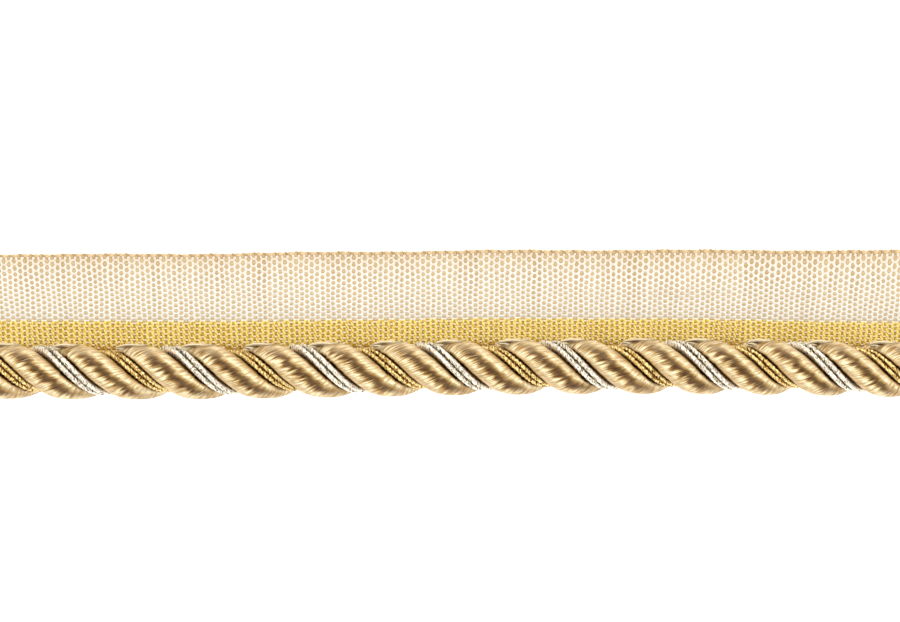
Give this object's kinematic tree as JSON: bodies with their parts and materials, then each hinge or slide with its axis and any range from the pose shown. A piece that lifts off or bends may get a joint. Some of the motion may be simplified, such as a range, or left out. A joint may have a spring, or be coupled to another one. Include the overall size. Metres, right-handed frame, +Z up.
{
  "type": "flanged decorative cord",
  "caption": "Straight cut length of twisted satin cord with silver and gold threads, bound along the edge of a woven tape for sewing into a seam.",
  "frame": {"origin": "middle of the underside, at the centre of the overall box", "axes": "+X along the cord, +Y from the twisted rope towards the tape's free edge, +Z up from the surface that it lies on"},
  "size_m": [0.174, 0.0258, 0.0093],
  "materials": {
    "satin_floss": "lustrous floss wound over a soft core, old gold",
    "silver_thread": "thin foil wound round a core, bright silver",
    "gold_thread": "twisted metallic thread, bright gold",
    "tape_weave": "plain weave of white warp and beige weft, matt",
    "binding_yarn": "lustrous yellow yarn in close rows"
  },
  "bodies": {
    "root": {"satin_a": "satin_floss", "satin_b": "satin_floss", "silver_a": "silver_thread", "silver_b": "silver_thread", "gold_a": "gold_thread", "gold_b": "gold_thread", "tape": "tape_weave", "binding": "binding_yarn"}
  },
  "joints": []
}
